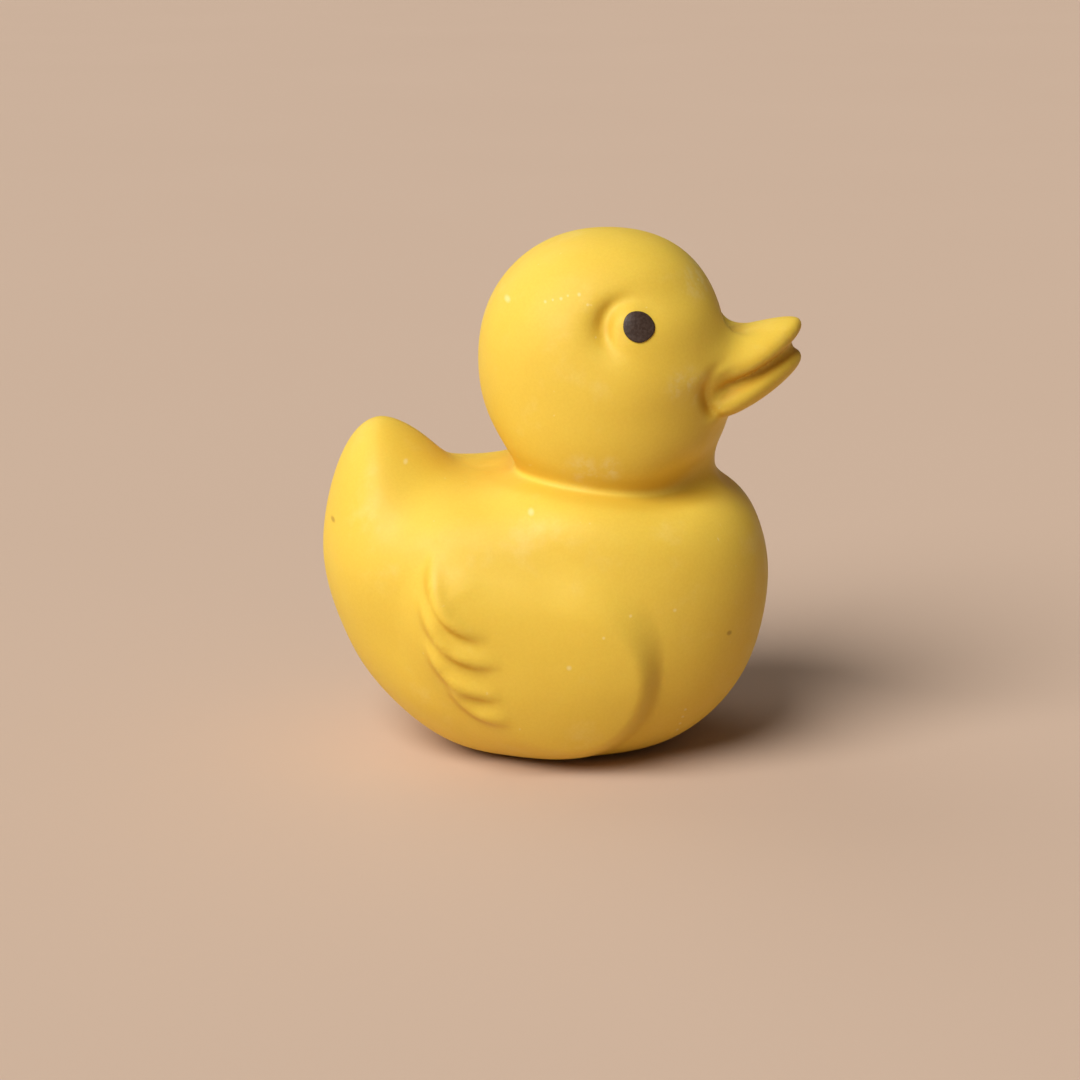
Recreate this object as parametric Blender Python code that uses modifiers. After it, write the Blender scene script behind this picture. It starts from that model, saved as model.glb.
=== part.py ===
"""Rubber duck: one hollow moulded rubber body and a painted eye on each side of its head.

Metres, +Z up. The bill points along +X, the duck's left is +Y, and z = 0 is the surface that its
flat base stands on. The origin is on the flat base.

The body is shaped as a modeller would in clay: rounded lumps (trunk, chest, keel, tail, head, throat,
jowls, bill) are joined with soft blends. The wings, the feathers, the hollows round the eyes and behind
the neck, and the line of the mouth are relief on that form.
skin() measures how far a point lies outside the finished surface, so a rough mesh of the same lumps
is first remeshed into one skin and then wrapped onto it.
"""

import bmesh
import bpy
import numpy as np
from mathutils import Matrix, Vector

# Trunk
BODY_X = 0.0010
BODY_BACK = 0.0279
BODY_FRONT = 0.0295
BODY_HALF_WIDTH = 0.0234
BODY_BELOW = 0.0292
BODY_ABOVE = 0.0141
BODY_PITCH = 2.5
BODY_FULLNESS = 2.19
BASE_CUT = 0.0023
BASE_ROUNDING = 0.0040

CHEST_FORWARD = 0.0086
CHEST_DROP = 0.0028
CHEST_REACH = 0.0209
CHEST_HALF_WIDTH = 0.0216
CHEST_BELOW = 0.0230
CHEST_ABOVE = 0.0127
CHEST_FULLNESS = 2.1

KEEL_CLEARANCE = 0.0015
KEEL_BACK = 0.0267
KEEL_FRONT = 0.0245
KEEL_HALF_WIDTH = 0.0193
KEEL_BELOW = 0.0155
KEEL_ABOVE = 0.0120

TAIL_INSET = 0.0050
TAIL_RAISE = 0.0009
TAIL_BACK = 0.0092
TAIL_FRONT = 0.0120
TAIL_HALF_WIDTH = 0.0150
TAIL_BELOW = 0.0150
TAIL_ABOVE = 0.0188
TAIL_PITCH = 4.1
TAIL_FULLNESS = 1.8
TAIL_BLEND = 0.0100
SADDLE_BEHIND = 0.0085
SADDLE_DIP = 0.0014

# Swells and hollows of each flank: place from the middle of the trunk, half length, half height,
# tilt in degrees, and rise
SHOULDER = (0.0019, 0.0103, 0.0080, 0.0030, -18.0, 0.0016)
FLANK_HOLLOW = (0.0005, 0.0052, 0.0115, 0.0086, -24.0, -0.0022)
WING_ROOT = (-0.0145, 0.0033, 0.0042, 0.0110, 0.0, 0.0006)

# Head and neck
HEAD_FORWARD = 0.0073
NECK_RISE = 0.0140
HEAD_BACK = 0.0176
HEAD_FRONT = 0.0168
HEAD_HALF_WIDTH = 0.0174
HEAD_BELOW = 0.0206
HEAD_ABOVE = 0.0179
HEAD_FULLNESS = 2.11
HEAD_LIFT = 0.0007
FOREHEAD_RISE = 0.0004
NAPE_BLEND = 0.0032
THROAT_BLEND = 0.0052

THROAT_FORWARD = 0.0042
THROAT_DROP = 0.0167
THROAT_FRONT = 0.0102
THROAT_HALF_WIDTH = 0.0135
THROAT_HALF_HEIGHT = 0.0115
CHIN_FORWARD = 0.0125
CHIN_DROP = 0.0068
CHIN_RADIUS = 0.0045
CHIN_HALF_WIDTH = 0.0085
JOWL_FORWARD = 0.0006
JOWL_DROP = 0.0082
JOWL_SPREAD = 0.0046
JOWL_BACK = 0.0135
JOWL_FRONT = 0.0140
JOWL_HALF_WIDTH = 0.0128
JOWL_HALF_HEIGHT = 0.0114
JOWL_FULLNESS = 2.0
JOWL_BLEND = 0.0060

# Bill
UPPER_BILL_SEAT = 0.0017
UPPER_BILL_RAISE = 0.0010
UPPER_BILL_LENGTH = 0.0126
UPPER_BILL_HALF_WIDTH = 0.0104
UPPER_BILL_HALF_HEIGHT = 0.0026
UPPER_BILL_PITCH = 9.0
UPPER_BILL_LIFT = 0.0020
UPPER_BILL_DROOP = 0.0020
LOWER_BILL_SEAT = 0.0033
LOWER_BILL_DROP = 0.0044
LOWER_BILL_LENGTH = 0.0144
LOWER_BILL_HALF_WIDTH = 0.0112
LOWER_BILL_HALF_HEIGHT = 0.0030
LOWER_BILL_PITCH = 21.0
LOWER_BILL_LIFT = 0.0005
LOWER_BILL_DROOP = 0.0010
BILL_ROOT = 0.0080
BILL_NARROWING = 0.4
MOUTH_BLEND = 0.0034
BILL_BLEND = 0.0024
MOUTH_CORNER = (0.0150, -0.0083)
MOUTH_RISE = 0.62
MOUTH_LIFT = 6.0
MOUTH_DEPTH = 0.0012
MOUTH_HALF_WIDTH = 0.0006

# Eyes
EYE_FORWARD = 0.0041
EYE_UP = 0.0073
EYE_DIAMETER = 0.0044
PAINT_GAP = 0.0003
PAINT_THICKNESS = 0.0003
EYEBALL_RADIUS = 0.0040
EYEBALL_SEAT = 0.0061
EYEBALL_BEHIND = 0.0007
# Swells and hollows round each eye, from the middle of the eye, as those of the flank
EYE_HOLLOW = (-0.0046, -0.0004, 0.0044, 0.0052, 0.0, -0.0018)
BROW_HOLLOW = (0.0024, 0.0032, 0.0080, 0.0038, 0.0, -0.0011)
CHEEK = (0.0020, -0.0085, 0.0090, 0.0040, 0.0, 0.0005)

# Wings: places are measured from the middle of the trunk
WING_LOBE = (0.0012, -0.0120)
WING_LOBE_HALF_LENGTH = 0.0121
WING_LOBE_HALF_HEIGHT = 0.0130
WING_BACK = (-0.0085, -0.0040)
WING_BACK_RADIUS = 0.0097
WING_HEIGHT = 0.0017
FEATHER_HEIGHT = 0.0008
FEATHER_HALF_WIDTH = 0.0012
# Each feather edge is an arc: its centre from the middle of the trunk, its radius, and its angles.
FEATHERS = (
    (-0.0080, 0.0036, 0.0075, 163, 262),
    (-0.0078, 0.0009, 0.0087, 183, 274),
    (-0.0073, -0.0039, 0.0087, 190, 272),
    (-0.0055, -0.0090, 0.0080, 192, 268),
)

# Shell
WALL = 0.0022
AIR_HOLE_DIAMETER = 0.0030
AIR_HOLE_BEHIND = 0.0070

# Mesh
SKIN_VOXEL = 0.0007
CAVITY_VOXEL = 0.0014
SKIN_TRIANGLES = 9200
CAVITY_TRIANGLES = 1800

BODY_Z = BODY_BELOW - BASE_CUT
HEAD_X = BODY_X + HEAD_FORWARD
HEAD_Z = BODY_Z + BODY_ABOVE + NECK_RISE


def clear_scene():
    for obj in list(bpy.data.objects):
        bpy.data.objects.remove(obj, do_unlink=True)


def new_collection(name):
    collection = bpy.data.collections.new(name)
    bpy.context.scene.collection.children.link(collection)
    return collection


def new_material(name, colour, roughness):
    material = bpy.data.materials.new(name)
    material.use_nodes = True
    shader = material.node_tree.nodes["Principled BSDF"]
    shader.inputs["Base Color"].default_value = (*colour, 1.0)
    shader.inputs["Roughness"].default_value = roughness
    shader.inputs["Metallic"].default_value = 0.0
    material.diffuse_color = (*colour, 1.0)
    return material


def smooth_step(low, high, value):
    t = np.clip((value - low) / (high - low), 0.0, 1.0)
    return t * t * (3.0 - 2.0 * t)


def soft_union(first, second, reach):
    """The nearer of two distances, with a round blend where they are within reach of each other."""
    overlap = np.maximum(reach - np.abs(first - second), 0.0) / reach
    return np.minimum(first, second) - overlap**3 * reach / 6.0


def soft_cut(first, second, reach):
    return -soft_union(-first, second, reach)


def bell(points, centre, size):
    """1 at the centre, fading to 0 over about the given size each way."""
    offset = (points - np.array(centre)) / np.array(size)
    return np.exp(-(offset * offset).sum(axis=1))


class Lump:
    """A rounded lump with its own reach backwards, forwards, sideways, down and up.

    It may lean nose up (pitch, degrees), be fuller or thinner than an ellipsoid (2 is an ellipsoid),
    curl up at the front (lift), hang down at the sides (droop) and narrow towards the front.
    """

    def __init__(self, x, z, back, front, half_width, below, above, y=0.0, pitch=0.0, fullness=2.0,
                 lift=0.0, droop=0.0, narrow=0.0):
        self.centre = np.array([x, y, z])
        self.back = back
        self.front = front
        self.half_width = half_width
        self.below = below
        self.above = above
        self.pitch = np.radians(pitch)
        self.fullness = fullness
        self.lift = lift
        self.droop = droop
        self.narrow = narrow

    def distance(self, points):
        """About how far each point lies outside the lump, and below zero inside it."""
        offset = points - self.centre
        cosine, sine = np.cos(self.pitch), np.sin(self.pitch)
        x = offset[:, 0] * cosine + offset[:, 2] * sine
        y = offset[:, 1]
        z = offset[:, 2] * cosine - offset[:, 0] * sine
        ahead = np.clip(x / self.front, 0.0, 1.2) ** 2
        z = z - self.lift * ahead + self.droop * np.minimum((y / self.half_width) ** 2, 1.5)
        y = y / (1.0 - self.narrow * np.minimum(ahead, 1.0))
        return self._ellipsoid(x, y, z)

    def _ellipsoid(self, x, y, z):
        turn_x = 0.35 * (self.back + self.front)
        turn_z = 0.35 * (self.below + self.above)
        reach_x = self.back + (self.front - self.back) * smooth_step(-turn_x, turn_x, x)
        reach_z = self.below + (self.above - self.below) * smooth_step(-turn_z, turn_z, z)
        power = self.fullness
        parts = [np.abs(x) / reach_x, np.abs(y) / self.half_width, np.abs(z) / reach_z]
        reaches = [reach_x, self.half_width, reach_z]
        size = sum(part**power for part in parts) ** (1.0 / power) + 1e-9
        slope = sum((part ** (power - 1.0) / reach) ** 2 for part, reach in zip(parts, reaches))
        return (size - 1.0) * size ** (power - 1.0) / (np.sqrt(slope) + 1e-9)

    def ball(self, shrink):
        """A rough closed mesh of the lump, all round smaller by shrink."""
        ball = bmesh.new()
        bmesh.ops.create_uvsphere(ball, u_segments=32, v_segments=20, radius=1.0)
        turn = Matrix.Rotation(-self.pitch, 3, "Y")
        for vert in ball.verts:
            x, y, z = vert.co
            ahead = max(x, 0.0) ** 2
            x *= max((self.front if x > 0 else self.back) - shrink, shrink)
            y *= max(self.half_width - shrink, shrink)
            z *= max((self.above if z > 0 else self.below) - shrink, shrink)
            z += self.lift * ahead - self.droop * (y / self.half_width) ** 2
            y *= 1.0 - self.narrow * ahead
            vert.co = turn @ Vector((x, y, z)) + Vector(self.centre)
        return ball


def trunk_lumps():
    body = Lump(BODY_X, BODY_Z, BODY_BACK, BODY_FRONT, BODY_HALF_WIDTH, BODY_BELOW, BODY_ABOVE,
                pitch=BODY_PITCH, fullness=BODY_FULLNESS)
    chest = Lump(BODY_X + CHEST_FORWARD, BODY_Z - CHEST_DROP, CHEST_REACH, CHEST_REACH,
                 CHEST_HALF_WIDTH, CHEST_BELOW, CHEST_ABOVE, fullness=CHEST_FULLNESS)
    keel = Lump(BODY_X, KEEL_BELOW + KEEL_CLEARANCE, KEEL_BACK, KEEL_FRONT, KEEL_HALF_WIDTH,
                KEEL_BELOW, KEEL_ABOVE, fullness=CHEST_FULLNESS)
    tail = Lump(BODY_X - BODY_BACK + TAIL_INSET, BODY_Z + TAIL_RAISE, TAIL_BACK, TAIL_FRONT,
                TAIL_HALF_WIDTH, TAIL_BELOW, TAIL_ABOVE, pitch=TAIL_PITCH, fullness=TAIL_FULLNESS)
    return body, chest, keel, tail


def head_lumps():
    head = Lump(HEAD_X, HEAD_Z, HEAD_BACK, HEAD_FRONT, HEAD_HALF_WIDTH, HEAD_BELOW, HEAD_ABOVE,
                fullness=HEAD_FULLNESS, lift=HEAD_LIFT)
    throat = Lump(HEAD_X + THROAT_FORWARD, HEAD_Z - THROAT_DROP, THROAT_FRONT, THROAT_FRONT,
                  THROAT_HALF_WIDTH, THROAT_HALF_HEIGHT, THROAT_HALF_HEIGHT)
    chin = Lump(HEAD_X + CHIN_FORWARD, HEAD_Z - CHIN_DROP, CHIN_RADIUS, CHIN_RADIUS,
                CHIN_HALF_WIDTH, CHIN_RADIUS, CHIN_RADIUS)
    jowl = Lump(HEAD_X + JOWL_FORWARD, HEAD_Z - JOWL_DROP, JOWL_BACK, JOWL_FRONT, JOWL_HALF_WIDTH,
                JOWL_HALF_HEIGHT, JOWL_HALF_HEIGHT, y=JOWL_SPREAD, fullness=JOWL_FULLNESS)
    return head, throat, chin, jowl


def bill_lumps():
    root = HEAD_X + HEAD_FRONT
    upper = Lump(root - UPPER_BILL_SEAT, HEAD_Z + UPPER_BILL_RAISE, BILL_ROOT, UPPER_BILL_LENGTH,
                 UPPER_BILL_HALF_WIDTH, UPPER_BILL_HALF_HEIGHT, UPPER_BILL_HALF_HEIGHT,
                 pitch=UPPER_BILL_PITCH, fullness=2.3, lift=UPPER_BILL_LIFT,
                 droop=UPPER_BILL_DROOP, narrow=BILL_NARROWING)
    lower = Lump(root - LOWER_BILL_SEAT, HEAD_Z - LOWER_BILL_DROP, BILL_ROOT, LOWER_BILL_LENGTH,
                 LOWER_BILL_HALF_WIDTH, LOWER_BILL_HALF_HEIGHT, LOWER_BILL_HALF_HEIGHT,
                 pitch=LOWER_BILL_PITCH, fullness=2.2, lift=LOWER_BILL_LIFT,
                 droop=LOWER_BILL_DROOP, narrow=BILL_NARROWING)
    return upper, lower


def mouth_groove(points):
    """How deep the line between the two halves of the bill is, from its corner to the tip."""
    ahead = points[:, 0] - HEAD_X - MOUTH_CORNER[0]
    line = HEAD_Z + MOUTH_CORNER[1] + MOUTH_RISE * ahead + MOUTH_LIFT * ahead * np.abs(ahead)
    off_line = (points[:, 2] - line) / (MOUTH_HALF_WIDTH * (1.0 + MOUTH_RISE))
    return MOUTH_DEPTH * np.exp(-off_line * off_line) * smooth_step(-0.0012, 0.0012, ahead)


def eyeball_lump():
    radius = EYEBALL_RADIUS
    return Lump(HEAD_X + EYE_FORWARD - EYEBALL_BEHIND, HEAD_Z + EYE_UP, radius, radius, radius,
                radius, radius, y=HEAD_HALF_WIDTH - EYEBALL_SEAT)


TRUNK = trunk_lumps()
HEAD = head_lumps()
BILL = bill_lumps()
EYEBALL = eyeball_lump()


def swell(points, x, z, shape):
    """A soft swell of the side, or a hollow where its rise is below zero."""
    place_x, place_z, half_length, half_height, tilt, rise = shape
    cosine, sine = np.cos(np.radians(tilt)), np.sin(np.radians(tilt))
    across = points[:, 0] - x - place_x
    up = points[:, 2] - z - place_z
    along = (across * cosine + up * sine) / half_length
    over = (up * cosine - across * sine) / half_height
    return rise * np.exp(-along * along - over * over) * smooth_step(0.002, 0.010, points[:, 1])


def trunk_form(points):
    body, chest, keel, tail = (lump.distance(points) for lump in TRUNK)
    trunk = soft_union(soft_union(body, chest, 0.006), keel, 0.006)
    return soft_union(trunk, tail, TAIL_BLEND)


def head_form(points):
    head, throat, chin = (lump.distance(points) for lump in HEAD[:3])
    head = soft_union(soft_union(head, throat, 0.008), chin, 0.003)
    rounded = points.copy()
    rounded[:, 1] = np.hypot(points[:, 1], 0.003)
    head = soft_union(head, HEAD[3].distance(rounded), JOWL_BLEND)
    forehead = (HEAD_X + 0.0095, 0.0, HEAD_Z + 0.0135)
    return head - FOREHEAD_RISE * bell(points, forehead, (0.007, 0.012, 0.006))


def trunk_and_head(points):
    """The plain form without bill, wings and eyeballs, for points on the side where y is above 0."""
    forwards = smooth_step(BODY_X - 0.005, BODY_X + 0.017, points[:, 0])
    reach = NAPE_BLEND + (THROAT_BLEND - NAPE_BLEND) * forwards
    form = soft_union(trunk_form(points), head_form(points), reach)
    saddle = (BODY_X - SADDLE_BEHIND, 0.0, BODY_Z + BODY_ABOVE)
    form = form + SADDLE_DIP * bell(points, saddle, (0.006, 0.010, 0.006))
    for shape in (SHOULDER, FLANK_HOLLOW, WING_ROOT):
        form = form - swell(points, BODY_X, BODY_Z, shape)
    for shape in (EYE_HOLLOW, BROW_HOLLOW, CHEEK):
        form = form - swell(points, HEAD_X + EYE_FORWARD, HEAD_Z + EYE_UP, shape)
    return form


def inside_oval(x, z, place, half_length, half_height):
    """How far each point lies inside an oval drawn on the duck's side."""
    across = np.hypot((x - place[0]) / half_length, (z - place[1]) / half_height)
    return (1.0 - across) * 0.5 * (half_length + half_height)


def feather_ridges(x, z):
    height = np.zeros(len(x))
    for centre_x, centre_z, radius, first, last in FEATHERS:
        off_line = (np.hypot(x - centre_x, z - centre_z) - radius) / FEATHER_HALF_WIDTH
        angle = np.degrees(np.arctan2(z - centre_z, x - centre_x)) % 360.0
        along = (angle - first) / (last - first)
        fade = smooth_step(-0.18, 0.12, along) * (1.0 - smooth_step(0.5, 1.05, along))
        height += FEATHER_HEIGHT * np.exp(-off_line * off_line) * fade
    return height


def wing_pad(points):
    """How far the rounded pad of the wing stands out from the plain flank."""
    x = points[:, 0] - BODY_X
    z = points[:, 2] - BODY_Z
    lobe = inside_oval(x, z, WING_LOBE, WING_LOBE_HALF_LENGTH, WING_LOBE_HALF_HEIGHT)
    back = inside_oval(x, z, WING_BACK, WING_BACK_RADIUS, WING_BACK_RADIUS)
    low_front = smooth_step(-0.010, 0.007, x) * smooth_step(0.001, -0.014, z)
    softness = 0.0042 - 0.0015 * low_front
    pad = WING_HEIGHT * smooth_step(-softness, softness, -soft_union(-lobe, -back, 0.007))
    return pad * smooth_step(0.006, 0.014, points[:, 1])


def feather_relief(points):
    ridges = feather_ridges(points[:, 0] - BODY_X, points[:, 2] - BODY_Z)
    return ridges * smooth_step(0.012, 0.017, points[:, 1])


def one_side(points):
    """The duck is the same on both sides, so the form is worked out for the left one."""
    folded = points.copy()
    folded[:, 1] = np.abs(folded[:, 1])
    return folded


def skin(points):
    """How far each point lies outside the duck's outer surface."""
    side = one_side(points)
    form = trunk_and_head(side) - wing_pad(side) - feather_relief(side)
    upper, lower = (lump.distance(side) for lump in BILL)
    bill = soft_union(upper, lower, MOUTH_BLEND) + mouth_groove(side)
    form = soft_union(form, bill, BILL_BLEND)
    form = soft_union(form, EYEBALL.distance(side), 0.0013)
    return soft_cut(form, side[:, 2], BASE_ROUNDING)


def cavity_skin(points):
    """The hollow follows trunk, head and wings at one wall's depth. The bill is solid."""
    side = one_side(points)
    form = trunk_and_head(side) - wing_pad(side) + WALL
    return soft_cut(form, side[:, 2] - WALL, BASE_ROUNDING)


def slope_of(field, points):
    """Which way and how fast the field grows at each point."""
    step = 0.00003
    slope = np.empty_like(points)
    for axis in range(3):
        shift = np.zeros(3)
        shift[axis] = step
        slope[:, axis] = (field(points + shift) - field(points - shift)) / (2.0 * step)
    return slope


def onto(field, points, level=0.0):
    """One step of each point towards where the field is level."""
    slope = slope_of(field, points)
    steepness = np.maximum((slope * slope).sum(axis=1), 0.05)
    move = slope * ((level - field(points)) / steepness)[:, None]
    length = np.linalg.norm(move, axis=1, keepdims=True)
    return points + move * np.minimum(1.0, 0.0015 / np.maximum(length, 1e-9))


def relaxed(points, edges):
    """Each point moved halfway to the middle of its neighbours."""
    total = np.zeros_like(points)
    count = np.zeros(len(points))
    for here, there in ((0, 1), (1, 0)):
        np.add.at(total, edges[:, here], points[edges[:, there]])
        np.add.at(count, edges[:, here], 1.0)
    return 0.5 * (points + total / count[:, None])


def points_of(mesh):
    points = np.empty(len(mesh.vertices) * 3)
    mesh.vertices.foreach_get("co", points)
    return points.reshape(-1, 3)


def edges_of(mesh):
    edges = np.empty(len(mesh.edges) * 2, dtype=np.int64)
    mesh.edges.foreach_get("vertices", edges)
    return edges.reshape(-1, 2)


def wrap(obj, field, rounds, relax):
    """Moves the mesh's points onto the field's surface, and spreads them evenly if asked."""
    mesh = obj.data
    points = points_of(mesh)
    edges = edges_of(mesh)
    for _ in range(rounds):
        if relax:
            points = relaxed(points, edges)
        points = onto(field, points)
    for _ in range(6):
        points = onto(field, points)
    mesh.vertices.foreach_set("co", points.ravel())
    mesh.update()


def apply_modifiers(obj):
    bpy.context.view_layer.update()
    evaluated = obj.evaluated_get(bpy.context.evaluated_depsgraph_get())
    mesh = bpy.data.meshes.new_from_object(evaluated)
    obj.modifiers.clear()
    obj.data = mesh


def joined_balls(name, lumps, shrink, collection):
    """The lumps' rough balls, and the left side's eyeball on both sides, as one object."""
    whole = bmesh.new()
    for lump in lumps:
        sides = (1, -1) if lump.centre[1] else (1,)
        for side in sides:
            ball = lump.ball(shrink)
            if side < 0:
                bmesh.ops.scale(ball, vec=(1.0, -1.0, 1.0), verts=ball.verts)
                bmesh.ops.reverse_faces(ball, faces=ball.faces)
            piece = bpy.data.meshes.new(name)
            ball.to_mesh(piece)
            ball.free()
            whole.from_mesh(piece)
            bpy.data.meshes.remove(piece)
    mesh = bpy.data.meshes.new(name)
    whole.to_mesh(mesh)
    whole.free()
    obj = bpy.data.objects.new(name, mesh)
    collection.objects.link(obj)
    return obj


def halve_and_mirror(obj):
    """Keeps the +Y half and mirrors it, so that both sides are alike."""
    half = bmesh.new()
    half.from_mesh(obj.data)
    geometry = half.verts[:] + half.edges[:] + half.faces[:]
    bmesh.ops.bisect_plane(half, geom=geometry, dist=1e-6, plane_co=(0, 0, 0), plane_no=(0, -1, 0),
                           clear_outer=True)
    half.to_mesh(obj.data)
    half.free()
    mirror = obj.modifiers.new("Both sides", "MIRROR")
    mirror.use_axis = (False, True, False)
    mirror.use_clip = True
    mirror.merge_threshold = 0.00005
    apply_modifiers(obj)


def moulded_skin(name, lumps, shrink, field, voxel, triangles, collection):
    """One closed skin on the field: rough balls, remeshed, wrapped, and thinned out."""
    obj = joined_balls(name, lumps, shrink, collection)
    remesh = obj.modifiers.new("One skin", "REMESH")
    remesh.mode = "VOXEL"
    remesh.voxel_size = voxel
    apply_modifiers(obj)
    wrap(obj, field, rounds=14, relax=True)
    halve_and_mirror(obj)
    faces = sum(len(polygon.vertices) - 2 for polygon in obj.data.polygons)
    thin = obj.modifiers.new("Thin out", "DECIMATE")
    thin.ratio = min(1.0, triangles / faces)
    thin.use_symmetry = True
    thin.symmetry_axis = "Y"
    apply_modifiers(obj)
    wrap(obj, field, rounds=0, relax=False)
    return obj


def as_cutter(obj):
    obj.hide_render = True
    obj.display_type = "WIRE"


def cut(obj, cutter, name):
    boolean = obj.modifiers.new(name, "BOOLEAN")
    boolean.operation = "DIFFERENCE"
    boolean.object = cutter


def air_hole(collection):
    """The round hole through the base, beside the middle, that lets the hollow breathe."""
    mesh = bpy.data.meshes.new("air_hole")
    hole = bmesh.new()
    radius = AIR_HOLE_DIAMETER / 2
    depth = 4 * WALL
    bmesh.ops.create_cone(hole, cap_ends=True, segments=24, radius1=radius, radius2=radius, depth=depth)
    hole.to_mesh(mesh)
    hole.free()
    obj = bpy.data.objects.new("air_hole", mesh)
    obj.location = (BODY_X - AIR_HOLE_BEHIND, 0.0, 0.0)
    collection.objects.link(obj)
    as_cutter(obj)
    return obj


def duck_body(parts, cutters, material):
    body = moulded_skin("duck_body", (*TRUNK, *HEAD, *BILL, EYEBALL), 0.0, skin, SKIN_VOXEL,
                        SKIN_TRIANGLES, parts)
    hollow = moulded_skin("hollow", (*TRUNK, HEAD[0], HEAD[1], HEAD[3]), WALL, cavity_skin, CAVITY_VOXEL,
                          CAVITY_TRIANGLES, cutters)
    as_cutter(hollow)
    cut(body, hollow, "Hollow")
    cut(body, air_hole(cutters), "Air hole")
    body.data.shade_smooth()
    body.data.materials.clear()
    body.data.materials.append(material)
    return body


def eye_place(side):
    """The middle of the painted eye on the skin, and the skin's outward direction there."""
    place = np.array([[HEAD_X + EYE_FORWARD, side * HEAD_HALF_WIDTH, HEAD_Z + EYE_UP]])
    for _ in range(30):
        place[0, 1] -= side * skin(place)[0]
    outward = slope_of(skin, place)[0]
    return place[0], outward / np.linalg.norm(outward)


def round_patch(radius):
    """A flat disc of rings, turned from one spoke."""
    disc = bmesh.new()
    rings = 5
    spoke = [disc.verts.new((radius * ring / rings, 0.0, 0.0)) for ring in range(rings + 1)]
    edges = [disc.edges.new(pair) for pair in zip(spoke, spoke[1:])]
    bmesh.ops.spin(disc, geom=spoke + edges, cent=(0, 0, 0), axis=(0, 0, 1), angle=2 * np.pi, steps=28,
                   use_merge=True)
    bmesh.ops.remove_doubles(disc, verts=disc.verts, dist=1e-6)
    bmesh.ops.recalc_face_normals(disc, faces=disc.faces)
    return disc


def painted_eye(name, side, parts, material):
    """A thin round film of paint that follows the eyeball."""
    place, outward = eye_place(side)
    disc = round_patch(EYE_DIAMETER / 2)
    turn = Vector((0, 0, 1)).rotation_difference(Vector(outward)).to_matrix()
    mesh = bpy.data.meshes.new(name)
    for vert in disc.verts:
        vert.co = turn @ vert.co + Vector(place)
    disc.to_mesh(mesh)
    disc.free()
    points = points_of(mesh)
    for _ in range(8):
        points = onto(skin, points, PAINT_GAP)
    mesh.vertices.foreach_set("co", (points - place).ravel())
    mesh.update()
    if sum(Vector(outward).dot(face.normal) for face in mesh.polygons) < 0:
        mesh.flip_normals()
    mesh.materials.append(material)
    mesh.shade_smooth()
    eye = bpy.data.objects.new(name, mesh)
    eye.location = place
    parts.objects.link(eye)
    film = eye.modifiers.new("Paint film", "SOLIDIFY")
    film.thickness = PAINT_THICKNESS
    film.offset = 1.0
    return eye


def main():
    clear_scene()
    parts = new_collection("rubber_duck")
    cutters = new_collection("cutters")
    rubber = new_material("yellow_rubber", (0.84, 0.52, 0.065), 0.42)
    paint = new_material("eye_paint", (0.047, 0.024, 0.014), 0.45)
    duck_body(parts, cutters, rubber)
    painted_eye("eye_right", -1, parts, paint)
    painted_eye("eye_left", 1, parts, paint)


main()
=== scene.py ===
"""Rubber duck, dressed for the picture: a fine skin with a waxy finish, and painted eyes.

Metres, +Z up. The bill points along +X and the duck stands on z = 0.
"""

import bmesh
import bpy
import numpy as np
from mathutils import Matrix, Vector

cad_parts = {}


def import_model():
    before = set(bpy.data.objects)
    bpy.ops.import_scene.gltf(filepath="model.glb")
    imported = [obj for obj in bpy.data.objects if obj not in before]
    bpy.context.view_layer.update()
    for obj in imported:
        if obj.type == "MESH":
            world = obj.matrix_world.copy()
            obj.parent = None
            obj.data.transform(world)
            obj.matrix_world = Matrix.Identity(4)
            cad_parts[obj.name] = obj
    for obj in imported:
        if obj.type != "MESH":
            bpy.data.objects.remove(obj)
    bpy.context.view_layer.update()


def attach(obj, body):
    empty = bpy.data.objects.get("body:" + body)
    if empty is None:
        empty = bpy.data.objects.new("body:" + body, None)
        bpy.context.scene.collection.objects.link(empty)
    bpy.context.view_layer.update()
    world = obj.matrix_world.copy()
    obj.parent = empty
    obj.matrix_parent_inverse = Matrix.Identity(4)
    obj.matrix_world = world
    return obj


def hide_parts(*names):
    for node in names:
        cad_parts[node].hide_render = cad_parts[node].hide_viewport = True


# Trunk
BODY_X = 0.0010
BODY_BACK = 0.0279
BODY_FRONT = 0.0295
BODY_HALF_WIDTH = 0.0234
BODY_BELOW = 0.0292
BODY_ABOVE = 0.0141
BODY_PITCH = 2.5
BODY_FULLNESS = 2.19
TRUNK_BLEND = 0.0060
# How flat the sides and the cheeks are, where 1 is round
FLAT_SIDES = 1.35
FLAT_CHEEKS = 1.15
BASE_CUT = 0.0023
BASE_ROUNDING = 0.0040

CHEST_FORWARD = 0.0086
CHEST_DROP = 0.0028
CHEST_REACH = 0.0209
CHEST_HALF_WIDTH = 0.0216
CHEST_BELOW = 0.0230
CHEST_ABOVE = 0.0127
CHEST_FULLNESS = 2.1

KEEL_CLEARANCE = 0.0015
KEEL_BACK = 0.0267
KEEL_FRONT = 0.0245
KEEL_HALF_WIDTH = 0.0193
KEEL_BELOW = 0.0155
KEEL_ABOVE = 0.0120

TAIL_INSET = 0.0050
TAIL_RAISE = 0.0009
TAIL_BACK = 0.0092
TAIL_FRONT = 0.0120
TAIL_HALF_WIDTH = 0.0150
TAIL_BELOW = 0.0150
TAIL_ABOVE = 0.0188
TAIL_PITCH = 4.1
TAIL_FULLNESS = 1.8
TAIL_BLEND = 0.0100
SADDLE_BEHIND = 0.0085
SADDLE_DIP = 0.0014
SADDLE_SIZE = (0.006, 0.010, 0.006)

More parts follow.
